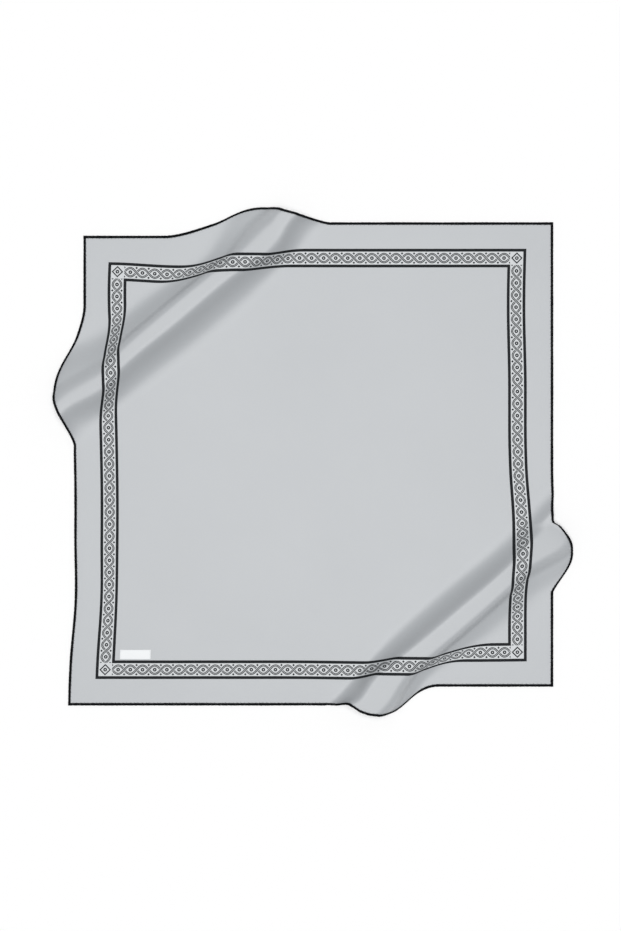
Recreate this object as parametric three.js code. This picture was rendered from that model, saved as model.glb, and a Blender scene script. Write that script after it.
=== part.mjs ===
import * as THREE from 'three';

// A square silk scarf, lying on a flat surface with two soft folds across its corners.
// Millimetres, +Z up. The origin is the centre of the square, on the surface it rests on.
// Every point is set out on the flat square first, as (u, v) from its centre, and is
// then carried to where the laid cloth has it.

// The square and its cloth
const SIDE = 900;
const CLOTH_THICK = 1;
const GAP = 0.3;

// The rolled hem
const HEM_WIDTH = 4.8;
const HEM_HEIGHT = 3;
const HEM_ROUND = 0.3;

// The sewn-on label
const LABEL_LENGTH = 57;
const LABEL_WIDTH = 18;
const LABEL_THICK = 0.8;
const LABEL_FROM_LEFT = 93;
const LABEL_FROM_BOTTOM = 86;

// The folds: how high they stand, and how far each one draws its corner in
const FOLD_HEIGHT = 36;
const UPPER_TAKE_UP = 25;
const LOWER_TAKE_UP = 35;

// How far the edge swings out where a fold meets it, and how deep into the cloth that goes
const SWING_OUT = 44;
const SWING_DEPTH = 50;
const SWING_FLAT = 6;

// How far the laid cloth strays sideways from a true square
const STRAY = 8;

// How sharply the outer and the inner slope of a fold end at its shoulders
const OUTER_ROUND = 4;
const INNER_ROUND = 8;

// How wide the crease is that runs below the outer shoulder of a fold
const CREASE_WIDTH = 20;

// How wide one cell of the cloth's grid is, about
const CELL = 20.3;

const HALF = SIDE / 2;
const CLOTH_HALF = HALF - HEM_WIDTH - GAP;
const CELLS = Math.round((2 * CLOTH_HALF) / CELL);

// One row per section along a fold, as shares of SIDE: where the section is along the
// fold, then the distances of both feet and both shoulders from the fold's own corner.
// The height is a share of FOLD_HEIGHT. outerLate and innerLate say how late each slope
// steepens, and crease is the share of the height that the crease takes.
const UPPER_ROWS = [
  {
    along: -0.24, outerFoot: 0.130, outerTop: 0.262, innerTop: 0.273, innerFoot: 0.340,
    height: 0.74, outerLate: 1.2, innerLate: 1.0, crease: 0.25,
  },
  {
    along: -0.13, outerFoot: 0.150, outerTop: 0.251, innerTop: 0.270, innerFoot: 0.360,
    height: 0.90, outerLate: 1.5, innerLate: 1.0, crease: 0.15,
  },
  {
    along: 0.00, outerFoot: 0.165, outerTop: 0.259, innerTop: 0.284, innerFoot: 0.380,
    height: 0.97, outerLate: 1.6, innerLate: 1.1, crease: 0.15,
  },
  {
    along: 0.14, outerFoot: 0.195, outerTop: 0.272, innerTop: 0.296, innerFoot: 0.390,
    height: 0.97, outerLate: 1.8, innerLate: 1.1, crease: 0.20,
  },
  {
    along: 0.20, outerFoot: 0.190, outerTop: 0.280, innerTop: 0.306, innerFoot: 0.388,
    height: 0.87, outerLate: 2.6, innerLate: 1.1, crease: 0.40,
  },
  {
    along: 0.27, outerFoot: 0.165, outerTop: 0.304, innerTop: 0.322, innerFoot: 0.385,
    height: 0.78, outerLate: 4.0, innerLate: 1.1, crease: 0.60,
  },
];
const LOWER_ROWS = [
  {
    along: -0.24, outerFoot: 0.205, outerTop: 0.262, innerTop: 0.298, innerFoot: 0.336,
    height: 0.84, outerLate: 1.2, innerLate: 1.0, crease: 0.30,
  },
  {
    along: -0.13, outerFoot: 0.178, outerTop: 0.250, innerTop: 0.282, innerFoot: 0.346,
    height: 0.83, outerLate: 1.6, innerLate: 1.0, crease: 0.35,
  },
  {
    along: 0.00, outerFoot: 0.145, outerTop: 0.239, innerTop: 0.270, innerFoot: 0.340,
    height: 0.84, outerLate: 1.8, innerLate: 1.0, crease: 0.40,
  },
  {
    along: 0.12, outerFoot: 0.132, outerTop: 0.234, innerTop: 0.262, innerFoot: 0.330,
    height: 0.76, outerLate: 1.8, innerLate: 1.0, crease: 0.40,
  },
  {
    along: 0.24, outerFoot: 0.150, outerTop: 0.240, innerTop: 0.270, innerFoot: 0.330,
    height: 0.38, outerLate: 2.0, innerLate: 0.8, crease: 0.50,
  },
];

// cornerU and cornerV name the corner that a fold cuts off. moveU and moveV are the way
// that corner is drawn in, and outerShare is the part of it taken up by the outer slope.
const FOLDS = [
  {
    cornerU: -1, cornerV: 1, moveU: UPPER_TAKE_UP, moveV: -UPPER_TAKE_UP,
    outerShare: 0.50, rows: UPPER_ROWS,
  },
  {
    cornerU: 1, cornerV: -1, moveU: 0, moveV: LOWER_TAKE_UP,
    outerShare: 0.60, rows: LOWER_ROWS,
  },
];

// One row per swing of the edge. start, peak and end are places along the side, as
// shares of SIDE. reach is a share of SWING_OUT, and the two powers shape each flank.
const SWINGS = [
  {
    faceU: 0, faceV: 1, start: -0.330, peak: -0.127, end: 0.038,
    startPower: 1.65, endPower: 1.35, reach: 0.940,
  },
  {
    faceU: 0, faceV: 1, start: -0.110, peak: -0.073, end: -0.030,
    startPower: 1.50, endPower: 1.50, reach: -0.055,
  },
  {
    faceU: -1, faceV: 0, start: 0.353, peak: 0.161, end: 0.038,
    startPower: 1.60, endPower: 1.37, reach: 1.010,
  },
  {
    faceU: 0, faceV: -1, start: 0.030, peak: 0.163, end: 0.264,
    startPower: 1.50, endPower: 2.25, reach: 0.765,
  },
  {
    faceU: 0, faceV: -1, start: 0.050, peak: 0.079, end: 0.100,
    startPower: 1.50, endPower: 1.50, reach: -0.090,
  },
  {
    faceU: 0, faceV: -1, start: 0.115, peak: 0.142, end: 0.170,
    startPower: 1.50, endPower: 1.50, reach: -0.065,
  },
  {
    faceU: 1, faceV: 0, start: -0.137, peak: -0.208, end: -0.304,
    startPower: 0.75, endPower: 1.12, reach: 0.765,
  },
  {
    faceU: 1, faceV: 0, start: -0.060, peak: -0.128, end: -0.142,
    startPower: 1.50, endPower: 0.80, reach: -0.110,
  },
];

// One row per place where the cloth strays: its centre and reach as shares of SIDE, and
// how far it goes as shares of STRAY.
const STRAYS = [
  { u: -0.50, v: -0.10, reachU: 0.35, reachV: 0.46, moveU: 1.00, moveV: 0 },
  { u: -0.50, v: -0.50, reachU: 0.28, reachV: 0.25, moveU: -0.50, moveV: 0 },
  { u: -0.50, v: -0.28, reachU: 0.12, reachV: 0.14, moveU: 0.42, moveV: 0 },
  { u: 0.45, v: -0.15, reachU: 0.12, reachV: 0.15, moveU: 0.65, moveV: 0 },
];

function clamp01(x) {
  return Math.min(1, Math.max(0, x));
}

function smooth(x) {
  const t = clamp01(x);
  return t * t * (3 - 2 * t);
}

// A slope from 0 to 1 that steepens late and rounds off at its shoulder.
function ease(x, late, roundOff) {
  const t = clamp01(x);
  const low = (late + roundOff + 1) * Math.pow(t, late + 1);
  return (low - (late + 1) * Math.pow(t, late + roundOff + 1)) / roundOff;
}

// The value of one column at a place along a fold, on a smooth curve through the rows.
function columnAt(rows, column, along) {
  const last = rows.length - 1;
  const x = Math.min(rows[last].along, Math.max(rows[0].along, along));
  let i = 0;
  while (i < last - 1 && x > rows[i + 1].along) {
    i += 1;
  }
  const lean = (k) => {
    const before = rows[Math.max(0, k - 1)];
    const after = rows[Math.min(last, k + 1)];
    return (after[column] - before[column]) / (after.along - before.along);
  };
  const span = rows[i + 1].along - rows[i].along;
  const t = (x - rows[i].along) / span;
  const rest = 1 - t;
  const low = rows[i][column] * (1 + 2 * t) * rest * rest + lean(i) * span * t * rest * rest;
  const high = rows[i + 1][column] * t * t * (3 - 2 * t) - lean(i + 1) * span * t * t * rest;
  return low + high;
}

// What one fold does to the point (u, v): how far it moves it and how high it lifts it.
function foldAt(fold, u, v) {
  const across = (HALF - fold.cornerU * u + HALF - fold.cornerV * v) / Math.SQRT2 / SIDE;
  const along = (u + v) / Math.SQRT2 / SIDE;
  const outerFoot = columnAt(fold.rows, 'outerFoot', along);
  const outerTop = columnAt(fold.rows, 'outerTop', along);
  const innerTop = columnAt(fold.rows, 'innerTop', along);
  const innerFoot = columnAt(fold.rows, 'innerFoot', along);
  const height = columnAt(fold.rows, 'height', along) * FOLD_HEIGHT;
  const outerLate = columnAt(fold.rows, 'outerLate', along);
  const innerLate = columnAt(fold.rows, 'innerLate', along);
  const rise = ease((across - outerFoot) / (outerTop - outerFoot), outerLate, OUTER_ROUND);
  const fall = ease((innerFoot - across) / (innerFoot - innerTop), innerLate, INNER_ROUND);
  const creaseShare = columnAt(fold.rows, 'crease', along);
  const crease = smooth(((across - outerTop) * SIDE) / CREASE_WIDTH + 1);
  const raised = rise + creaseShare * (crease - rise);
  const outerDrawn = fold.outerShare * smooth((across - outerFoot) / (outerTop - outerFoot));
  const drawn = 1 - outerDrawn - (1 - fold.outerShare) * (1 - fall);
  return new THREE.Vector3(fold.moveU * drawn, fold.moveV * drawn, height * (raised + fall - 1));
}

// What one swing of the edge does to the point (u, v).
function swingAt(swing, u, v) {
  const place = (swing.faceV !== 0 ? u : v) / SIDE;
  const depth = HALF - (swing.faceU * u + swing.faceV * v);
  const onStart = (place - swing.peak) * (swing.start - swing.peak) > 0;
  const foot = onStart ? swing.start : swing.end;
  const power = onStart ? swing.startPower : swing.endPower;
  const share = clamp01((place - foot) / (swing.peak - foot));
  const shape = Math.pow(Math.sin((Math.PI / 2) * share), power);
  const size = SWING_OUT * swing.reach * shape * (1 - smooth((depth - SWING_FLAT) / SWING_DEPTH));
  return new THREE.Vector3(swing.faceU * size, swing.faceV * size, 0);
}

// How far the laid cloth has strayed at the point (u, v).
function strayAt(row, u, v) {
  const awayU = Math.min(1, Math.abs(u / SIDE - row.u) / row.reachU);
  const awayV = Math.min(1, Math.abs(v / SIDE - row.v) / row.reachV);
  const size = STRAY * Math.cos((Math.PI / 2) * awayU) ** 2 * Math.cos((Math.PI / 2) * awayV) ** 2;
  return new THREE.Vector3(row.moveU * size, row.moveV * size, 0);
}

// The underside of the laid cloth at the point (u, v) of the flat square.
function underside(u, v) {
  const point = new THREE.Vector3(u, v, 0);
  for (const fold of FOLDS) {
    point.add(foldAt(fold, u, v));
  }
  for (const swing of SWINGS) {
    point.add(swingAt(swing, u, v));
  }
  for (const stray of STRAYS) {
    point.add(strayAt(stray, u, v));
  }
  return point;
}

// The point that stands off the underside by lift, square to the cloth.
function place(u, v, lift) {
  const step = SIDE / 10000;
  const alongU = underside(u + step, v).sub(underside(u - step, v));
  const alongV = underside(u, v + step).sub(underside(u, v - step));
  const normal = alongU.cross(alongV).normalize();
  return underside(u, v).addScaledVector(normal, lift);
}

// A mesh from a list of points and a list of corner triples, with its faces outward.
function bodyOf(name, points, corners, color, roughness) {
  let volume = 0;
  for (const [a, b, c] of corners) {
    volume += points[a].dot(points[b].clone().cross(points[c]));
  }
  const index = [];
  for (const [a, b, c] of corners) {
    index.push(a, volume < 0 ? c : b, volume < 0 ? b : c);
  }
  const geometry = new THREE.BufferGeometry().setFromPoints(points);
  geometry.setIndex(index);
  geometry.computeVertexNormals();
  const material = new THREE.MeshStandardMaterial({ color, roughness, metalness: 0 });
  const mesh = new THREE.Mesh(geometry, material);
  mesh.name = name;
  return mesh;
}

// Evenly spaced stations from low to high.
function stations(low, high, cells) {
  return Array.from({ length: cells + 1 }, (_, i) => low + ((high - low) * i) / cells);
}

// A slab of cloth over a grid of stations, between two lifts. Its cells are split along
// the folds, so that every facet lies well on its slope.
function slab(name, us, vs, low, high, color, roughness) {
  const points = [];
  const corners = [];
  const columns = us.length;
  const rows = vs.length;
  for (const lift of [low, high]) {
    for (const v of vs) {
      for (const u of us) {
        points.push(place(u, v, lift));
      }
    }
  }
  const at = (i, j, layer) => layer * columns * rows + j * columns + i;
  for (let j = 0; j < rows - 1; j += 1) {
    for (let i = 0; i < columns - 1; i += 1) {
      corners.push([at(i, j, 1), at(i + 1, j, 1), at(i + 1, j + 1, 1)]);
      corners.push([at(i, j, 1), at(i + 1, j + 1, 1), at(i, j + 1, 1)]);
      corners.push([at(i, j, 0), at(i + 1, j + 1, 0), at(i + 1, j, 0)]);
      corners.push([at(i, j, 0), at(i, j + 1, 0), at(i + 1, j + 1, 0)]);
    }
  }
  const rim = [];
  for (let i = 0; i < columns - 1; i += 1) {
    rim.push([i, 0]);
  }
  for (let j = 0; j < rows - 1; j += 1) {
    rim.push([columns - 1, j]);
  }
  for (let i = columns - 1; i > 0; i -= 1) {
    rim.push([i, rows - 1]);
  }
  for (let j = rows - 1; j > 0; j -= 1) {
    rim.push([0, j]);
  }
  for (let k = 0; k < rim.length; k += 1) {
    const [i, j] = rim[k];
    const [nextI, nextJ] = rim[(k + 1) % rim.length];
    corners.push([at(i, j, 0), at(nextI, nextJ, 0), at(nextI, nextJ, 1)]);
    corners.push([at(i, j, 0), at(nextI, nextJ, 1), at(i, j, 1)]);
  }
  return bodyOf(name, points, corners, color, roughness);
}

// The section of the rolled hem, as distances in from the edge and up from the underside.
const HEM_SECTION = [
  { inset: 0, lift: HEM_ROUND * HEM_HEIGHT },
  { inset: 0, lift: (1 - HEM_ROUND) * HEM_HEIGHT },
  { inset: HEM_ROUND * HEM_WIDTH, lift: HEM_HEIGHT },
  { inset: (1 - HEM_ROUND) * HEM_WIDTH, lift: HEM_HEIGHT },
  { inset: HEM_WIDTH, lift: (1 - HEM_ROUND) * HEM_HEIGHT },
  { inset: HEM_WIDTH, lift: HEM_ROUND * HEM_HEIGHT },
  { inset: (1 - HEM_ROUND) * HEM_WIDTH, lift: 0 },
  { inset: HEM_ROUND * HEM_WIDTH, lift: 0 },
];

// One rolled hem along the side that faces (faceU, faceV), mitred at both corners with
// half a gap on each side of the mitre.
function hem(name, faceU, faceV, color, roughness) {
  const between = stations(-CLOTH_HALF, CLOTH_HALF, CELLS).slice(1, -1);
  const mitre = (GAP / 2) * Math.SQRT2;
  const ringAt = (sAt) =>
    HEM_SECTION.map(({ inset, lift }) => {
      const s = sAt(inset);
      const out = HALF - inset;
      return faceV !== 0 ? place(s, faceV * out, lift) : place(faceU * out, s, lift);
    });
  const rings = [
    ringAt((inset) => -(HALF - inset - mitre)),
    ...between.map((s) => ringAt(() => s)),
    ringAt((inset) => HALF - inset - mitre),
  ];
  const count = HEM_SECTION.length;
  const points = rings.flat();
  const corners = [];
  for (let r = 0; r < rings.length - 1; r += 1) {
    for (let k = 0; k < count; k += 1) {
      const next = (k + 1) % count;
      corners.push([r * count + k, r * count + next, (r + 1) * count + next]);
      corners.push([r * count + k, (r + 1) * count + next, (r + 1) * count + k]);
    }
  }
  const end = (rings.length - 1) * count;
  for (let k = 1; k < count - 1; k += 1) {
    corners.push([0, k + 1, k]);
    corners.push([end, end + k, end + k + 1]);
  }
  return bodyOf(name, points, corners, color, roughness);
}

const CLOTH_COLOR = 0xc9cdd0;
const HEM_COLOR = 0x101418;
const LABEL_COLOR = 0xeceeef;

const scarf = new THREE.Group();
scarf.name = 'silk_scarf';

const clothStations = stations(-CLOTH_HALF, CLOTH_HALF, CELLS);
scarf.add(slab('cloth', clothStations, clothStations, 0, CLOTH_THICK, CLOTH_COLOR, 0.55));

scarf.add(hem('hem_top', 0, 1, HEM_COLOR, 0.6));
scarf.add(hem('hem_right', 1, 0, HEM_COLOR, 0.6));
scarf.add(hem('hem_bottom', 0, -1, HEM_COLOR, 0.6));
scarf.add(hem('hem_left', -1, 0, HEM_COLOR, 0.6));

const labelLeft = -HALF + LABEL_FROM_LEFT;
const labelBottom = -HALF + LABEL_FROM_BOTTOM;
const labelLow = CLOTH_THICK + GAP;
scarf.add(
  slab(
    'label',
    stations(labelLeft, labelLeft + LABEL_LENGTH, 6),
    stations(labelBottom, labelBottom + LABEL_WIDTH, 2),
    labelLow,
    labelLow + LABEL_THICK,
    LABEL_COLOR,
    0.5,
  ),
);

export default scarf;
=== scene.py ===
import math

import bpy
import numpy as np
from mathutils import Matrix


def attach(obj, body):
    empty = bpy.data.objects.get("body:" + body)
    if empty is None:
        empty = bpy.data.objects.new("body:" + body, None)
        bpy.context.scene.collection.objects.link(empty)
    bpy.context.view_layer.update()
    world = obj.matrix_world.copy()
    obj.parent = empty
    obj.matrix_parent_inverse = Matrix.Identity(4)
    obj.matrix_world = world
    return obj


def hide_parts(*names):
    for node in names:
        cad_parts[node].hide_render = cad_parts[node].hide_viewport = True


# The looks of a square silk scarf, lying flat with two soft folds across its corners.
# Sizes are in millimetres unless a comment says otherwise, and are turned to metres when
# a mesh is made. (u, v) is a point of the flat square, from its centre.

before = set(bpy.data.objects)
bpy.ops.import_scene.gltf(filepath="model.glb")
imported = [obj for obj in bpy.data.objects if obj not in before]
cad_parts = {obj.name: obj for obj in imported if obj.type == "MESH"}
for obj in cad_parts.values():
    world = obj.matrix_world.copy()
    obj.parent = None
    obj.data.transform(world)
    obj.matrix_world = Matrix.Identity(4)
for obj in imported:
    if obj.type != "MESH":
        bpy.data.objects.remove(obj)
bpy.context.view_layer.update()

MM = 0.001
TURN = 2 * math.pi

SIDE = 900.0
HALF = SIDE / 2
HEM_WIDTH = 4.8
HEM_HEIGHT = 3.0
CLOTH_THICK = 0.35
# how far the cloth stands off the surface that underside gives
CLOTH_LIFT = 0.25
FOLD_HEIGHT = 36.0
# how far each fold draws its corner in
UPPER_TAKE_UP = 25.0
LOWER_TAKE_UP = 35.0
# how far an edge swings out at most, the strip beside it that moves as one, and how far in
# the swing then takes to die out
SWING_OUT = 44.0
SWING_FLAT = 6.0
SWING_DEPTH = 50.0
# how far the square strays from a true one
STRAY = 8.0
# how sharply the outer and the inner slope of a fold end at its shoulders
OUTER_ROUND = 4.0
INNER_ROUND = 8.0
# how wide the crease is that runs below the outer shoulder of a fold
CREASE_WIDTH = 20.0
# the soft pleat in each outer slope, which only the cloth that is seen has: its share of
# the height, its width, and how many widths before the shoulder it starts
PLEAT_SHARE = 0.14
PLEAT_WIDTH = 13.0
PLEAT_OUT = 1.7
# half the stretch of cloth over which its slope is measured
NORMAL_STEP = 0.05
RIPPLE_HEIGHT = 0.55

# Sections along each fold, as shares of SIDE: place along the fold, outer foot, outer
# shoulder, inner shoulder, inner foot, then height as a share of FOLD_HEIGHT, how late
# each slope steepens, and the share of the height that the crease takes.
UPPER_ROWS = [
    (-0.24, 0.130, 0.262, 0.273, 0.340, 0.74, 1.2, 1.0, 0.25),
    (-0.13, 0.150, 0.251, 0.270, 0.360, 0.90, 1.5, 1.0, 0.15),
    (0.00, 0.165, 0.259, 0.284, 0.380, 0.97, 1.6, 1.1, 0.15),
    (0.14, 0.195, 0.272, 0.296, 0.390, 0.97, 1.8, 1.1, 0.20),
    (0.20, 0.190, 0.280, 0.306, 0.388, 0.87, 2.6, 1.1, 0.40),
    (0.27, 0.165, 0.304, 0.322, 0.385, 0.78, 4.0, 1.1, 0.60),
]
LOWER_ROWS = [
    (-0.24, 0.205, 0.262, 0.298, 0.336, 0.84, 1.2, 1.0, 0.30),
    (-0.13, 0.178, 0.250, 0.282, 0.346, 0.83, 1.6, 1.0, 0.35),
    (0.00, 0.145, 0.239, 0.270, 0.340, 0.84, 1.8, 1.0, 0.40),
    (0.12, 0.132, 0.234, 0.262, 0.330, 0.76, 1.8, 1.0, 0.40),
    (0.24, 0.150, 0.240, 0.270, 0.330, 0.38, 2.0, 0.8, 0.50),
]
# corner, how the corner is drawn in, share taken up by the outer slope, sections
FOLDS = [
    ((-1, 1), (UPPER_TAKE_UP, -UPPER_TAKE_UP), 0.50, UPPER_ROWS),
    ((1, -1), (0.0, LOWER_TAKE_UP), 0.60, LOWER_ROWS),
]
# side that swings out, start, peak and end as shares of SIDE, powers of both flanks, and
# share of SWING_OUT
SWINGS = [
    ((0, 1), -0.330, -0.127, 0.038, 1.65, 1.35, 0.94),
    ((0, 1), -0.110, -0.073, -0.030, 1.50, 1.50, -0.055),
    ((-1, 0), 0.353, 0.161, 0.038, 1.60, 1.37, 1.01),
    ((0, -1), 0.030, 0.163, 0.264, 1.50, 2.25, 0.765),
    ((0, -1), 0.050, 0.079, 0.100, 1.50, 1.50, -0.09),
    ((0, -1), 0.115, 0.142, 0.170, 1.50, 1.50, -0.065),
    ((1, 0), -0.137, -0.208, -0.304, 0.75, 1.12, 0.765),
    ((1, 0), -0.060, -0.128, -0.142, 1.50, 0.80, -0.11),
]
# centre and reach both ways as shares of SIDE, and share of STRAY
STRAYS = [
    (-0.50, -0.10, 0.35, 0.46, 1.00),
    (-0.50, -0.50, 0.28, 0.25, -0.50),
    (-0.50, -0.28, 0.12, 0.14, 0.42),
    (0.45, -0.15, 0.12, 0.15, 0.65),
]


def smooth(x):
    """A soft step from 0 to 1."""
    x = np.clip(x, 0.0, 1.0)
    return x * x * (3 - 2 * x)


def ease(x, late, round_off):
    """A slope from 0 to 1 that steepens late and rounds off at its shoulder."""
    x = np.clip(x, 0.0, 1.0)
    low = (late + round_off + 1) * x ** (late + 1)
    return (low - (late + 1) * x ** (late + round_off + 1)) / round_off


def hill(u, v, at_u, at_v, reach_u, reach_v):
    """1 at its centre and 0 beyond its reach, both given as shares of SIDE."""
    away_u = np.clip(np.abs(u / SIDE - at_u) / reach_u, 0, 1)
    away_v = np.clip(np.abs(v / SIDE - at_v) / reach_v, 0, 1)
    return np.cos(math.pi / 2 * away_u) ** 2 * np.cos(math.pi / 2 * away_v) ** 2


def columns_at(rows, along):
    """Every column of a fold's table at the places along it, on smooth curves."""
    table = np.array(rows)
    at = table[:, 0]
    x = np.clip(along, at[0], at[-1])
    i = np.clip(np.searchsorted(at, x) - 1, 0, len(at) - 2)
    span = at[i + 1] - at[i]
    t = (x - at[i]) / span
    out = []
    for values in table[:, 1:].T:
        lean = np.gradient(values) / np.gradient(at)
        low = values[i] * (1 + 2 * t) * (1 - t) ** 2 + lean[i] * span * t * (1 - t) ** 2
        high = values[i + 1] * t * t * (3 - 2 * t) + lean[i + 1] * span * t * t * (t - 1)
        out.append(low + high)
    return out


def swing_at(u, v, row):
    """How far one row of SWINGS moves (u, v) both ways, and how deep in from the edge it is."""
    (fu, fv), start, peak, end, power_a, power_b, reach = row
    place = (u if fv else v) / SIDE
    depth = HALF - (fu * u + fv * v)
    on_start = (place - peak) * (start - peak) > 0
    foot = np.where(on_start, start, end)
    power = np.where(on_start, power_a, power_b)
    share = np.clip((place - foot) / (peak - foot), 0, 1)
    size = SWING_OUT * reach * np.sin(math.pi / 2 * share) ** power
    size = size * (1 - smooth((depth - SWING_FLAT) / SWING_DEPTH))
    return fu * size, fv * size, depth


def underside(u, v):
    """Where the laid cloth has the points (u, v) of the flat square."""
    x, y, z = u.astype(float), v.astype(float), np.zeros_like(u, dtype=float)
    along = (u + v) / math.sqrt(2) / SIDE
    for (cu, cv), (move_u, move_v), outer_share, rows in FOLDS:
        across = (HALF - cu * u + HALF - cv * v) / math.sqrt(2) / SIDE
        columns = columns_at(rows, along)
        foot, top, inner_top, inner_foot, height, late, inner_late, crease_share = columns
        rise = ease((across - foot) / (top - foot), late, OUTER_ROUND)
        fall = ease((inner_foot - across) / (inner_foot - inner_top), inner_late, INNER_ROUND)
        outer_drawn = outer_share * smooth((across - foot) / (top - foot))
        drawn = 1 - outer_drawn - (1 - outer_share) * (1 - fall)
        x = x + move_u * drawn
        y = y + move_v * drawn
        crease = smooth((across - top) * SIDE / CREASE_WIDTH + 1)
        raised = rise + crease_share * (crease - rise)
        pleat = smooth((across - top) * SIDE / PLEAT_WIDTH + PLEAT_OUT)
        raised = raised + PLEAT_SHARE * (pleat - rise)
        z = z + FOLD_HEIGHT * height * (raised + fall - 1)
    for row in SWINGS:
        out_u, out_v, _ = swing_at(u, v, row)
        x = x + out_u
        y = y + out_v
    for *place, move in STRAYS:
        x = x + STRAY * move * hill(u, v, *place)
    return np.stack([x, y, z], -1)


def ripple(u, v):
    """The soft unevenness of silk that lies on a table: never below nought."""
    a = np.sin(u / 61.0 + 1.3 * np.sin(v / 97.0 + 0.7)) * np.sin(v / 73.0 + 0.9 * np.sin(u / 83.0))
    b = np.sin((u + 0.6 * v) / 37.0 + 2.1) * np.sin((v - 0.5 * u) / 45.0 + 0.4)
    return RIPPLE_HEIGHT * (1 + 0.65 * a + 0.35 * b)


def laid(u, v, lift):
    """The points that stand off the cloth's underside by lift, ripples included."""
    du = underside(u + NORMAL_STEP, v) - underside(u - NORMAL_STEP, v)
    dv = underside(u, v + NORMAL_STEP) - underside(u, v - NORMAL_STEP)
    normal = np.cross(du, dv)
    normal /= np.linalg.norm(normal, axis=-1, keepdims=True)
    return underside(u, v) + normal * (lift + ripple(u, v))[..., None]


# Meshes


def mesh_object(name, points, faces, materials, kinds=None):
    """An object in the scene. kinds gives each face its place in the list of materials."""
    mesh = bpy.data.meshes.new(name)
    mesh.from_pydata((np.asarray(points) * MM).tolist(), [], [list(map(int, f)) for f in faces])
    for material in materials:
        mesh.materials.append(material)
    if kinds is not None:
        mesh.polygons.foreach_set("material_index", np.asarray(kinds, dtype=np.int32))
    mesh.polygons.foreach_set("use_smooth", [True] * len(mesh.polygons))
    mesh.update()
    obj = bpy.data.objects.new(name, mesh)
    bpy.context.scene.collection.objects.link(obj)
    return obj


def add_uv(obj, name, corner_uvs):
    """A UV layer, from the (u, v) of every corner of every face."""
    layer = obj.data.uv_layers.new(name=name)
    layer.data.foreach_set("uv", corner_uvs.ravel())


def sheet_faces(cells_u, cells_v):
    """The top, bottom and rim faces of a closed sheet, whose points are a grid twice over:
    all of the underside first, and then all of the top."""
    row = cells_u + 1
    count = row * (cells_v + 1)
    i, j = np.meshgrid(np.arange(cells_u), np.arange(cells_v))
    a = (j * row + i).ravel()
    cells = np.stack([a, a + 1, a + row + 1, a + row], -1)
    edge = [(k, 0) for k in range(cells_u)] + [(cells_u, k) for k in range(cells_v)]
    edge += [(k, cells_v) for k in range(cells_u, 0, -1)] + [(0, k) for k in range(cells_v, 0, -1)]
    ring = np.array([y * row + x for x, y in edge])
    following = np.roll(ring, -1)
    rim = np.stack([ring, following, following + count, ring + count], -1)
    return cells + count, cells[:, ::-1], rim


# How many points go round a stitch, and the places along it
STITCH_SIDES = 6
STITCH_PLACES = np.linspace(-1, 1, 5)


class Sewn:
    """A piece and the stitches that hold it, gathered for one mesh."""

    def __init__(self, points, faces, uvs):
        self.points = [points]
        self.faces = faces
        self.uvs = [uvs]
        self.kinds = [0] * len(faces)
        self.count = len(points)

    def add_stitch(self, path, radii, side_way, up):
        """A closed tube of thread along path, side_way and up being square to it."""
        angle = np.linspace(0, TURN, STITCH_SIDES, endpoint=False)[:, None]
        around = np.cos(angle) * side_way[:, None] + np.sin(angle) * up[:, None]
        rings = path[:, None] + radii[:, None, None] * around
        k = np.arange(STITCH_SIDES)
        k_next = (k + 1) % STITCH_SIDES
        first = self.count
        last = first + (len(path) - 1) * STITCH_SIDES
        for start in range(first, last, STITCH_SIDES):
            after = start + STITCH_SIDES
            quads = np.stack([start + k_next, start + k, after + k, after + k_next], -1)
            self.faces += quads.tolist()
        self.faces += [(first + k).tolist(), (last + k[::-1]).tolist()]
        self.kinds += [1] * ((len(path) - 1) * STITCH_SIDES + 2)
        self.points.append(rings.reshape(-1, 3))
        self.uvs.append(np.full((len(path) * STITCH_SIDES, 2), 0.5))
        self.count += len(path) * STITCH_SIDES

    def finish(self, name, piece_material, thread):
        """The object, with the piece in one material and its stitches in the other."""
        points = np.concatenate(self.points)
        obj = mesh_object(name, points, self.faces, [piece_material, thread], self.kinds)
        corners = np.array([i for face in self.faces for i in face])
        add_uv(obj, "flat", np.concatenate(self.uvs)[corners])
        return obj


# Materials

# How wide the soft edge of a printed shape is
SOFT_EDGE = 0.25


class Sum:
    """A number in a node tree, so that formulas can be written as formulas."""

    def __init__(self, tree, socket):
        self.tree = tree
        self.socket = socket

    def _math(self, operation, *others, clamp=False):
        node = self.tree.nodes.new("ShaderNodeMath")
        node.operation = operation
        node.use_clamp = clamp
        for i, value in enumerate((self,) + others):
            if isinstance(value, Sum):
                self.tree.links.new(value.socket, node.inputs[i])
            else:
                node.inputs[i].default_value = float(value)
        return Sum(self.tree, node.outputs[0])

    def __add__(self, other):
        return self._math("ADD", other)

    def __sub__(self, other):
        return self._math("SUBTRACT", other)

    def __rsub__(self, other):
        return self._math("MULTIPLY", -1)._math("ADD", other)

    def __mul__(self, other):
        return self._math("MULTIPLY", other)

    def __truediv__(self, other):
        return self._math("DIVIDE", other)

    def abs(self):
        return self._math("ABSOLUTE")

    def sin(self):
        return self._math("SINE")

    def cos(self):
        return self._math("COSINE")

    def sqrt(self):
        return self._math("SQRT")

    def floor(self):
        return self._math("FLOOR")

    def fract(self):
        return self._math("FRACT")

    def max(self, other):
        return self._math("MAXIMUM", other)

    def above(self, other):
        return self._math("GREATER_THAN", other)

    def clamp(self):
        return self._math("ADD", 0.0, clamp=True)

    def within(self, half):
        """1 where this distance is under half, with a soft edge."""
        return ((half - self) * (1 / SOFT_EDGE) + 0.5).clamp()

    def ring(self, outer, hole):
        """1 where this distance is between hole and outer, with soft edges."""
        return self.within(outer) - self.within(hole)


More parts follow.
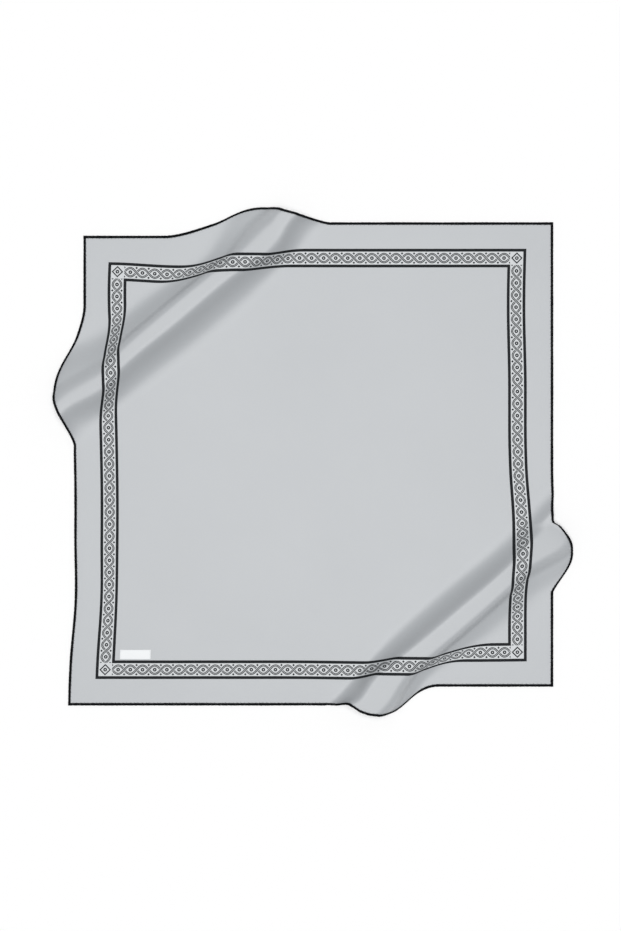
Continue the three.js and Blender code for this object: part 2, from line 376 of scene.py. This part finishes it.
def new_material(name):
    material = bpy.data.materials.new(name)
    material.use_nodes = True
    tree = material.node_tree
    tree.nodes.clear()
    output = tree.nodes.new("ShaderNodeOutputMaterial")
    shader = tree.nodes.new("ShaderNodeBsdfPrincipled")
    tree.links.new(shader.outputs[0], output.inputs[0])
    return material, tree, shader


def flat_shares(tree):
    """Both numbers of the flat UV layer, and the vector that holds them."""
    uv = tree.nodes.new("ShaderNodeUVMap")
    uv.uv_map = "flat"
    split = tree.nodes.new("ShaderNodeSeparateXYZ")
    tree.links.new(uv.outputs[0], split.inputs[0])
    return Sum(tree, split.outputs[0]), Sum(tree, split.outputs[1]), uv.outputs[0]


def noise(tree, vector, scale, detail=2.0, rough=0.5):
    node = tree.nodes.new("ShaderNodeTexNoise")
    node.inputs["Scale"].default_value = scale
    node.inputs["Detail"].default_value = detail
    node.inputs["Roughness"].default_value = rough
    tree.links.new(vector, node.inputs["Vector"])
    return Sum(tree, node.outputs["Fac"])


def mix(tree, factor, low, high, blend="MIX"):
    """A colour between low and high, each a colour or the socket of one."""
    node = tree.nodes.new("ShaderNodeMix")
    node.data_type = "RGBA"
    node.blend_type = blend
    if isinstance(factor, Sum):
        tree.links.new(factor.socket, node.inputs[0])
    else:
        node.inputs[0].default_value = factor
    for socket, value in ((node.inputs[6], low), (node.inputs[7], high)):
        if isinstance(value, tuple):
            socket.default_value = value + (1.0,)
        else:
            tree.links.new(value, socket)
    return node.outputs[2]


def set_relief(tree, shader, height, strength, distance):
    """Fine relief from the formula height, distance deep in metres."""
    bump = tree.nodes.new("ShaderNodeBump")
    bump.inputs["Strength"].default_value = strength
    bump.inputs["Distance"].default_value = distance
    tree.links.new(height.socket, bump.inputs["Height"])
    tree.links.new(bump.outputs[0], shader.inputs["Normal"])


# How much of a screen colour is left to the dye, the rest being gloss
INK_DIM = 0.77
SILK_DIM = 0.70
LABEL_DIM = 0.87


def linear(colour, dim=INK_DIM):
    """A screen colour, 0 to 255, as light, dimmed by what the gloss adds to it."""
    def one(c):
        c = c / 255
        return c / 12.92 if c <= 0.04045 else ((c + 0.055) / 1.055) ** 2.4
    return tuple(one(c) * dim for c in colour)


# The printed border, as distances in from the edge of the square
OUTER_LINE = 52.0
INNER_LINE = 81.4
LINE_WIDTH = 5.4
BAND_MIDDLE = (OUTER_LINE + INNER_LINE) / 2
BAND_HALF = (INNER_LINE - OUTER_LINE) / 2
# A plain tile fills each corner of the band, and two strands cross between them, with an
# eye in each loop and a nook outside each crossing
TILE_HALF = 12.7
TILE_MIDDLE = HALF - BAND_MIDDLE
TILE_START = TILE_MIDDLE - TILE_HALF
STRAND_REPEATS = 33
STRAND_PITCH = 2 * TILE_START / STRAND_REPEATS
STRAND_SWING = 7.8
STRAND_WIDTH = 3.8
STRAND_CORE = 0.7
STRAND_GAP = 0.9
EYE_RADIUS = 3.4
EYE_HOLE = 1.1
NOOK_AWAY = 8.6
NOOK_HALF = 2.3
LOZENGE_REACH = 9.2
LOZENGE_HALF = 1.5
TILE_EYE_HOLE = 1.2

FIELD_DARK = (201, 205, 209)
FIELD_PALE = (207, 211, 215)
BAND_PAPER = (226, 230, 233)
MOTIF_INK = (32, 36, 39)
LINE_INK = (30, 34, 37)
TWILL_PITCH = 0.75
# Colour is multiplied by one between these two, fibre by fibre
FLECK_DARK = (0.93, 0.93, 0.93)
FLECK_PALE = (1.05, 1.05, 1.05)


def border_ink(u, v):
    """How much dark ink the lines and the motifs have at (u, v), and where the band lies."""
    a, b = u.abs(), v.abs()
    inset = HALF - a.max(b)
    across = inset - BAND_MIDDLE
    on_side = a.above(b)
    place = v * on_side + u * (1 - on_side)
    lines = (inset - OUTER_LINE).abs().within(LINE_WIDTH / 2)
    lines = lines.max((inset - INNER_LINE).abs().within(LINE_WIDTH / 2))
    band = across.abs().within(BAND_HALF)
    tile = place.abs().above(TILE_START)

    turn = (place + TILE_START) * (1 / STRAND_PITCH)
    wave = (turn * math.pi).sin() * STRAND_SWING
    lean = (turn * math.pi).cos() * (STRAND_SWING * math.pi / STRAND_PITCH)
    shrink = (lean * lean + 1).sqrt()
    first = (across - wave).abs() / shrink
    second = (across + wave).abs() / shrink
    odd = ((turn + 0.5).floor() * 0.5).fract() * 2
    first_ink = first.ring(STRAND_WIDTH / 2, STRAND_CORE / 2)
    second_ink = second.ring(STRAND_WIDTH / 2, STRAND_CORE / 2)
    first_over = first.within(STRAND_WIDTH / 2 + STRAND_GAP) * (1 - odd)
    second_over = second.within(STRAND_WIDTH / 2 + STRAND_GAP) * odd
    strands = (first_ink * (1 - second_over)).max(second_ink * (1 - first_over))

    eye_x = (turn.fract() - 0.5) * STRAND_PITCH
    eyes = (eye_x * eye_x + across * across).sqrt().ring(EYE_RADIUS, EYE_HOLE)
    nook_x = ((turn + 0.5).fract() - 0.5) * STRAND_PITCH
    nook_y = across.abs() - NOOK_AWAY
    nooks = (nook_x.abs() + nook_y.abs()).within(NOOK_HALF)
    chain = strands.max(eyes).max(nooks) * (1 - tile)

    tile_x = a - TILE_MIDDLE
    tile_y = b - TILE_MIDDLE
    lozenge = (tile_x.abs() + tile_y.abs() - LOZENGE_REACH).abs().within(LOZENGE_HALF)
    tile_eye = (tile_x * tile_x + tile_y * tile_y).sqrt().ring(EYE_RADIUS, TILE_EYE_HOLE)
    motifs = chain.max(lozenge.max(tile_eye) * tile) * band
    return lines, motifs, band


def silk_material(name, strength, paleness):
    """Printed silk twill. strength is how dark the print is, paleness how much it fades."""
    material, tree, shader = new_material(name)
    share_u, share_v, vector = flat_shares(tree)
    u = (share_u - 0.5) * SIDE
    v = (share_v - 0.5) * SIDE
    lines, motifs, band = border_ink(u, v)
    cloudy = noise(tree, vector, scale=5.0, detail=3.0)
    slub = noise(tree, vector, scale=260.0, detail=3.0, rough=0.65)
    dark = linear([c + paleness for c in FIELD_DARK], SILK_DIM)
    pale = linear([c + paleness for c in FIELD_PALE], SILK_DIM)
    colour = mix(tree, cloudy, dark, pale)
    colour = mix(tree, band, colour, linear(BAND_PAPER, SILK_DIM))
    colour = mix(tree, motifs * strength, colour, linear(MOTIF_INK))
    colour = mix(tree, lines * strength, colour, linear(LINE_INK))
    threads = ((u + v) * (TURN / (TWILL_PITCH * math.sqrt(2)))).sin()
    fleck = mix(tree, slub * 0.5 + threads * 0.06 + 0.2, FLECK_DARK, FLECK_PALE)
    colour = mix(tree, 1.0, colour, fleck, "MULTIPLY")
    tree.links.new(colour, shader.inputs["Base Color"])
    set_relief(tree, shader, threads * 0.5 + slub * 0.8, strength=0.12, distance=0.0002)
    # the ink takes the gloss off the silk
    ink = lines.max(motifs) * strength
    tree.links.new((slub * 0.10 + 0.37 + ink * 0.38).socket, shader.inputs["Roughness"])
    tree.links.new((0.75 - ink * 0.5).socket, shader.inputs["Specular IOR Level"])
    shader.inputs["Sheen Weight"].default_value = 0.05
    shader.inputs["Sheen Roughness"].default_value = 0.4
    return material


HEM_DARK = (4, 6, 8)
HEM_PALE = (15, 18, 21)
HEM_TWILL_PITCH = 0.7
HEM_TWILL_STARTS = 6


def hem_material():
    """Black silk, rolled on itself: fine twill that winds round the roll."""
    material, tree, shader = new_material("hem_silk")
    along, around, vector = flat_shares(tree)
    grain = noise(tree, vector, scale=900.0)
    wear = noise(tree, vector, scale=40.0, detail=3.0)
    colour = mix(tree, wear * 0.6 + grain * 0.4, linear(HEM_DARK), linear(HEM_PALE))
    tree.links.new(colour, shader.inputs["Base Color"])
    winding = along * (1 / MM) * (TURN / HEM_TWILL_PITCH) + around * (TURN * HEM_TWILL_STARTS)
    set_relief(tree, shader, winding.sin() * 0.5 + grain, strength=0.25, distance=0.0001)
    tree.links.new((grain * 0.2 + 0.6).socket, shader.inputs["Roughness"])
    shader.inputs["Specular IOR Level"].default_value = 0.08
    return material


def thread_material(name, low, high):
    """Twisted sewing thread."""
    material, tree, shader = new_material(name)
    coords = tree.nodes.new("ShaderNodeTexCoord")
    grain = noise(tree, coords.outputs["Object"], scale=3000.0)
    tree.links.new(mix(tree, grain, linear(low), linear(high)), shader.inputs["Base Color"])
    tree.links.new((grain * 0.2 + 0.5).socket, shader.inputs["Roughness"])
    return material


LABEL_LENGTH = 57.0
LABEL_WIDTH = 18.0
LABEL_THICK = 0.45
LABEL_FROM_LEFT = 93.0
LABEL_FROM_BOTTOM = 86.0
LABEL_EDGE = 1.3
LABEL_RIB_PITCH = 0.55
LABEL_WARP_PITCH = 0.8
SATIN_DARK = (238, 241, 243)
SATIN_PALE = (250, 252, 253)
SATIN_EDGE = (226, 229, 231)


def label_material():
    """Bare pale satin: fine ribs across, with woven edges."""
    material, tree, shader = new_material("label_satin")
    share_u, share_v, vector = flat_shares(tree)
    along = share_u * LABEL_LENGTH
    across = share_v * LABEL_WIDTH
    grain = noise(tree, vector, scale=60.0, detail=3.0)
    ribs = (along * (TURN / LABEL_RIB_PITCH)).sin()
    warp = (across * (TURN / LABEL_WARP_PITCH)).sin()
    edge = (across - LABEL_WIDTH / 2).abs().above(LABEL_WIDTH / 2 - LABEL_EDGE)
    colour = mix(tree, grain * 0.7 + ribs * 0.12 + 0.15,
                 linear(SATIN_DARK, LABEL_DIM), linear(SATIN_PALE, LABEL_DIM))
    colour = mix(tree, edge * 0.5, colour, linear(SATIN_EDGE, LABEL_DIM))
    tree.links.new(colour, shader.inputs["Base Color"])
    set_relief(tree, shader, ribs * 0.5 + warp * 0.3 + grain, strength=0.3, distance=0.0001)
    tree.links.new((grain * 0.15 + 0.3).socket, shader.inputs["Roughness"])
    shader.inputs["Specular IOR Level"].default_value = 0.5
    return material


# The cloth: a thin closed sheet with its printed face up

# The cloth ends inside the roll of the hems
CLOTH_HALF = HALF - 1.2
CELLS = 212
# Where the print was laid on a little off square: centre and reach both ways as shares
# of SIDE, then how far off it is along u and along v
PRINT_DRIFTS = [
    (-0.30, 0.45, 0.15, 0.25, 0.0, 5.8),
    (-0.45, 0.38, 0.30, 0.15, 4.4, 0.0),
    (0.45, -0.12, 0.30, 0.20, -4.2, 0.0),
    (0.45, 0.33, 0.30, 0.18, 2.6, 0.0),
    (0.30, -0.45, 0.38, 0.30, 0.0, 3.3),
]
# The margin takes up the swing of an edge, so that the printed lines keep their width: it
# starts to do so this far in, and has done so at the second distance
MARGIN_START = 20.0
MARGIN_END = 40.0
# The baked picture: where the face, the rim and the back lie across it, what is left free
# at its ends, and the part of its step that each face of the rim fills
BAKE_FACE = (0.004, 0.655)
BAKE_RIM = (0.658, 0.664)
BAKE_BACK = (0.667, 0.996)
BAKE_END = 0.004
BAKE_RIM_FILL = 0.9


def print_drift(u, v):
    """How far the print at (u, v) is from where a square print would have it."""
    drift_u, drift_v = np.zeros_like(u), np.zeros_like(v)
    for *place, move_u, move_v in PRINT_DRIFTS:
        near = hill(u, v, *place)
        drift_u += move_u * near
        drift_v += move_v * near
    for row in SWINGS:
        out_u, out_v, depth = swing_at(u, v, row)
        printed = smooth((depth - MARGIN_START) / (MARGIN_END - MARGIN_START))
        drift_u += out_u * printed
        drift_v += out_v * printed
    return drift_u, drift_v


def bake_corners(shares, faces, top_count, bottom_count):
    """Where each corner of each face lies in the baked picture: face, rim and back apart."""
    def between(span, share):
        return span[0] + (span[1] - span[0]) * share
    height = (BAKE_END, 1 - BAKE_END)
    spread = shares[faces.ravel()]
    spread[:, 1] = between(height, spread[:, 1])
    top_end = top_count * 4
    bottom_end = top_end + bottom_count * 4
    spread[:top_end, 0] = between(BAKE_FACE, spread[:top_end, 0])
    spread[top_end:bottom_end, 0] = between(BAKE_BACK, spread[top_end:bottom_end, 0])
    count = len(faces) - top_count - bottom_count
    at = between(height, np.arange(count) / count)
    after = between(height, (np.arange(count) + BAKE_RIM_FILL) / count)
    low, high = np.full(count, BAKE_RIM[0]), np.full(count, BAKE_RIM[1])
    strip = np.stack([low, at, low, after, high, after, high, at], -1)
    spread[bottom_end:] = strip.reshape(-1, 2)
    return spread


def make_cloth():
    stations = np.linspace(-CLOTH_HALF, CLOTH_HALF, CELLS + 1)
    u, v = np.meshgrid(stations, stations)
    low = laid(u, v, CLOTH_LIFT).reshape(-1, 3)
    high = laid(u, v, CLOTH_LIFT + CLOTH_THICK).reshape(-1, 3)
    top, bottom, rim = sheet_faces(CELLS, CELLS)
    faces = np.concatenate([top, bottom, rim])
    kinds = np.concatenate([np.zeros(len(top)), np.ones(len(bottom)), np.ones(len(rim))])
    materials = [silk_material("silk_face", 1.0, 0), silk_material("silk_back", 0.55, 4)]
    obj = mesh_object("cloth_sheet", np.concatenate([low, high]), faces, materials, kinds)
    drift_u, drift_v = print_drift(u, v)
    printed = np.stack([(u + drift_u).ravel(), (v + drift_v).ravel()], -1) / SIDE + 0.5
    plain = np.stack([u.ravel(), v.ravel()], -1) / SIDE + 0.5
    add_uv(obj, "flat", np.tile(printed, (2, 1))[faces.ravel()])
    add_uv(obj, "OFBake", bake_corners(np.tile(plain, (2, 1)), faces, len(top), len(bottom)))
    obj.data.uv_layers.active = obj.data.uv_layers["flat"]
    return obj


# The rolled hems, each with the slip stitches that hold it

HEM_POINTS = 14
HEM_STEP = 1.5
# how far from its mitre a roll has its last full section
MITRE_ROOM = 1.0
# shares of the roll's size: what a stitch pinches in, two slow swellings, and the twist
PINCH = 0.10
SWELL_LONG = 0.03
SWELL_SHORT = 0.025
TWIST = 0.035
# the swellings' lengths over a full turn, and the length of a full turn of the twist
SWELL_LONG_WAVE = 23.0
SWELL_SHORT_WAVE = 9.1
TWIST_PITCH = 11.0
HEM_SEED = 11

STITCH_PITCH = 7.0
STITCH_LENGTH = 1.7
STITCH_RADIUS = 0.28
STITCH_FROM_END = 4.0
STITCH_ASTRAY = 0.6
STITCH_SLANTS = (0.5, 1.0)
# a stitch's middle lies outside the roll, and it reaches as far both ways from there
STITCH_OUTSIDE = 0.35
STITCH_REACH = 0.95
# the height of its outer end, how much higher the other end is, and how high it bows
STITCH_LIFT = 0.75
STITCH_RISE = 0.55
STITCH_BOW = 0.35


def on_side(face, s, inset, lift):
    """Points on the side that faces (fu, fv), s along it, inset from its edge."""
    fu, fv = face
    out = HALF - inset
    u, v = (s, fv * out) if fv else (fu * out, s)
    u, v = np.broadcast_arrays(np.asarray(u, float), np.asarray(v, float))
    return laid(u, v, lift)


def hem_sections(face, s, waves):
    """The points of a roll, ring by ring, and (along, around) at each of them."""
    around = np.linspace(0, TURN, HEM_POINTS, endpoint=False)
    pinch = PINCH * np.cos(math.pi * s / STITCH_PITCH) ** 8
    swell = SWELL_LONG * np.sin(s / SWELL_LONG_WAVE + waves[0])
    swell = swell + SWELL_SHORT * np.sin(s / SWELL_SHORT_WAVE + waves[1])
    twist = TWIST * np.sin(2 * around + TURN * s[:, None] / TWIST_PITCH + waves[2])
    radius = (1 - pinch + swell)[:, None] * (1 + twist)
    inset = HEM_WIDTH * (0.5 - 0.5 * np.cos(around) * radius)
    lift = HEM_HEIGHT * (0.5 + 0.5 * np.sin(around) * radius)
    # at both ends one more ring, which lies in the mitre
    place = np.repeat(s[:, None], HEM_POINTS, 1)
    place = np.concatenate([inset[:1] - HALF, place, HALF - inset[-1:]])
    inset = np.concatenate([inset[:1], inset, inset[-1:]])
    lift = np.concatenate([lift[:1], lift, lift[-1:]])
    along = np.repeat(place[:, :1], HEM_POINTS, 1) * MM + 0.5
    uvs = np.stack([along, np.broadcast_to(around / TURN, along.shape)], -1)
    return on_side(face, place, inset, lift), uvs


def make_hem(name, face, seed, roll, thread):
    rng = np.random.default_rng(seed)
    waves = rng.uniform(0, TURN, 3)
    end = HALF - HEM_WIDTH - MITRE_ROOM
    s = np.linspace(-end, end, int(2 * end / HEM_STEP) + 1)
    points, uvs = hem_sections(face, s, waves)
    k = np.arange(HEM_POINTS)
    k_next = (k + 1) % HEM_POINTS
    start = np.arange(len(points) - 1)[:, None] * HEM_POINTS
    after = start + HEM_POINTS
    faces = np.stack([start + k, start + k_next, after + k_next, after + k], -1)
    faces = faces.reshape(-1, 4).tolist()
    faces += [k[::-1].tolist(), (start[-1] + HEM_POINTS + k).tolist()]
    # s runs against the clock on two of the sides, so there the faces turn the other way
    if face in ((1, 0), (0, -1)):
        faces = [corners[::-1] for corners in faces]
    hem = Sewn(points.reshape(-1, 3), faces, uvs.reshape(-1, 2))

    # slip stitches: short slanting loops that come out of the cloth and go into the roll
    stitches = np.arange(-end + STITCH_FROM_END, end - STITCH_FROM_END, STITCH_PITCH)
    stitches = stitches + rng.uniform(-STITCH_ASTRAY, STITCH_ASTRAY, len(stitches))
    slants = rng.uniform(*STITCH_SLANTS, len(stitches))
    t = STITCH_PLACES
    path_inset = HEM_WIDTH + STITCH_OUTSIDE - t * STITCH_REACH
    path_lift = STITCH_LIFT + STITCH_RISE * (t + 1) * 0.5 + STITCH_BOW * (1 - t * t)
    radii = STITCH_RADIUS * np.sqrt(np.clip(1.04 - t * t, 0.1, 1))
    for at, slant in zip(stitches, slants):
        path = on_side(face, at + slant * t * STITCH_LENGTH * 0.5, path_inset, path_lift)
        way = np.gradient(path, axis=0)
        way /= np.linalg.norm(way, axis=1, keepdims=True)
        side_way = np.cross(way, [0.0, 0.0, 1.0])
        side_way /= np.linalg.norm(side_way, axis=1, keepdims=True)
        hem.add_stitch(path, radii, side_way, np.cross(side_way, way))
    return hem.finish(name, roll, thread)


# The label: bare woven satin, tacked down along its two short ends

LABEL_CELLS = (120, 36)
# how far the tape's underside and the foot of its face stand off the cloth
LABEL_GAP = 0.02
LABEL_FOOT = 0.05
LABEL_PUFF = 0.10
# the rounding of its edges, and its thickness there as a share
LABEL_ROUND = 0.5
LABEL_THIN = 0.35
# the tacks: how far from the tape's ends, how far apart, the dent that they make, and the
# size of their thread
TACK_FROM_END = 1.6
TACK_FROM_BOTTOM = 1.2
TACK_FROM_TOP = 0.8
TACK_PITCH = 1.8
TACK_DENT = 0.16
TACK_DENT_WIDTH = 0.5
TACK_HALF = 0.6
TACK_RADIUS = 0.16
TACK_LIFT = 0.08
TACK_BOW = 0.10


def make_label():
    left = -HALF + LABEL_FROM_LEFT
    bottom = -HALF + LABEL_FROM_BOTTOM
    cells_u, cells_v = LABEL_CELLS
    su, sv = np.meshgrid(np.linspace(0, 1, cells_u + 1), np.linspace(0, 1, cells_v + 1))
    u = left + LABEL_LENGTH * su
    v = bottom + LABEL_WIDTH * sv
    near_end = np.minimum(su, 1 - su) * LABEL_LENGTH
    near_side = np.minimum(sv, 1 - sv) * LABEL_WIDTH
    rounded = np.sqrt(np.clip(np.minimum(near_end, near_side) / LABEL_ROUND, 0.0, 1.0))
    puff = LABEL_PUFF * np.sin(math.pi * sv) * np.sin(math.pi * su) ** 0.5
    dent = np.exp(-((near_end - TACK_FROM_END) / TACK_DENT_WIDTH) ** 2)
    dent = TACK_DENT * dent * (0.5 + 0.5 * np.cos(TURN * v / TACK_PITCH))
    seat = CLOTH_LIFT + CLOTH_THICK
    thick = LABEL_THICK * (LABEL_THIN + (1 - LABEL_THIN) * rounded)
    low = laid(u, v, seat + LABEL_GAP).reshape(-1, 3)
    high = laid(u, v, seat + LABEL_FOOT + thick + puff - dent).reshape(-1, 3)
    faces = np.concatenate(sheet_faces(cells_u, cells_v)).tolist()
    uvs = np.tile(np.stack([su.ravel(), sv.ravel()], -1), (2, 1))
    tape = Sewn(np.concatenate([low, high]), faces, uvs)

    t = STITCH_PLACES
    lift = seat + LABEL_THICK + TACK_LIFT + TACK_BOW * (1 - t * t)
    radii = TACK_RADIUS * np.sqrt(np.maximum(0.15, 1.02 - t * t))
    side_way = np.tile([1.0, 0.0, 0.0], (len(t), 1))
    up = np.tile([0.0, 0.0, 1.0], (len(t), 1))
    lowest, highest = bottom + TACK_FROM_BOTTOM, bottom + LABEL_WIDTH - TACK_FROM_TOP
    for u_at in (left + TACK_FROM_END, left + LABEL_LENGTH - TACK_FROM_END):
        for centre in np.arange(lowest, highest, TACK_PITCH):
            path = laid(np.full(len(t), u_at), centre + TACK_HALF * t, lift)
            tape.add_stitch(path, radii, side_way, up)
    thread = thread_material("label_thread", (196, 199, 202), (232, 234, 236))
    return tape.finish("label_tape", label_material(), thread)


cloth = make_cloth()
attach(cloth, "root")
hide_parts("cloth")

hem_thread = thread_material("hem_thread", (16, 18, 20), (44, 47, 50))
hem_silk = hem_material()
SIDES = (("top", (0, 1)), ("right", (1, 0)), ("bottom", (0, -1)), ("left", (-1, 0)))
for number, (side, face) in enumerate(SIDES):
    hem = make_hem("rolled_hem_" + side, face, HEM_SEED + number, hem_silk, hem_thread)
    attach(hem, "root")
    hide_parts("hem_" + side)

label = make_label()
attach(label, "root")
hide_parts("label")

# The floor, the light and the camera. Lengths of the lamp and the camera are in metres.

FLOOR_HALF = 6000.0
FLOOR_DROP = 0.2
SKY_LIGHT = 0.20
HORIZON_LIGHT = 0.95
HORIZON_END = (0.03, 0.10)
LAMP_LIGHT = 0.85
LAMP_SPREAD = 0.9
LAMP_HEIGHT = 3.4
CAMERA_HEIGHT = 2.2
CAMERA_AT = (-0.0021, -0.0030, CAMERA_HEIGHT)
FRAME_HEIGHT = 1.7350
SENSOR = 36.0

floor_material, _, floor_shader = new_material("floor_paper")
floor_shader.inputs["Base Color"].default_value = (0.95, 0.95, 0.95, 1.0)
floor_shader.inputs["Roughness"].default_value = 0.9
floor_shader.inputs["Specular IOR Level"].default_value = 0.0
floor_corners = [(x * FLOOR_HALF, y * FLOOR_HALF, -FLOOR_DROP)
                 for x, y in ((-1, -1), (1, -1), (1, 1), (-1, 1))]
floor = mesh_object("floor", floor_corners, [(0, 1, 2, 3)], [floor_material])

# A white horizon under a dimmer sky, and one broad lamp straight overhead
world = bpy.data.worlds.new("studio")
world.use_nodes = True
sky = world.node_tree
direction = sky.nodes.new("ShaderNodeTexCoord")
parts = sky.nodes.new("ShaderNodeSeparateXYZ")
sky.links.new(direction.outputs["Generated"], parts.inputs[0])
falloff = sky.nodes.new("ShaderNodeMapRange")
falloff.interpolation_type = "SMOOTHSTEP"
falloff.inputs["From Min"].default_value, falloff.inputs["From Max"].default_value = HORIZON_END
falloff.inputs["To Min"].default_value = HORIZON_LIGHT
falloff.inputs["To Max"].default_value = SKY_LIGHT
sky.links.new(parts.outputs[2], falloff.inputs["Value"])
sky.nodes["Background"].inputs[0].default_value = (1.0, 1.0, 1.0, 1.0)
sky.links.new(falloff.outputs[0], sky.nodes["Background"].inputs[1])
bpy.context.scene.world = world

lamp = bpy.data.lights.new("overhead", "SUN")
lamp.angle = LAMP_SPREAD
lamp.energy = LAMP_LIGHT * math.pi
lamp_object = bpy.data.objects.new("overhead", lamp)
lamp_object.location = (0.0, 0.0, LAMP_HEIGHT)
bpy.context.scene.collection.objects.link(lamp_object)

camera_data = bpy.data.cameras.new("camera")
camera_data.sensor_width = SENSOR
camera_data.lens = SENSOR * CAMERA_HEIGHT / FRAME_HEIGHT
camera_data.clip_start = 0.05
camera = bpy.data.objects.new("camera", camera_data)
camera.location = CAMERA_AT
camera.rotation_euler = (0.0, 0.0, 0.0)
bpy.context.scene.collection.objects.link(camera)
bpy.context.scene.camera = camera

bpy.context.scene.view_settings.view_transform = "Standard"
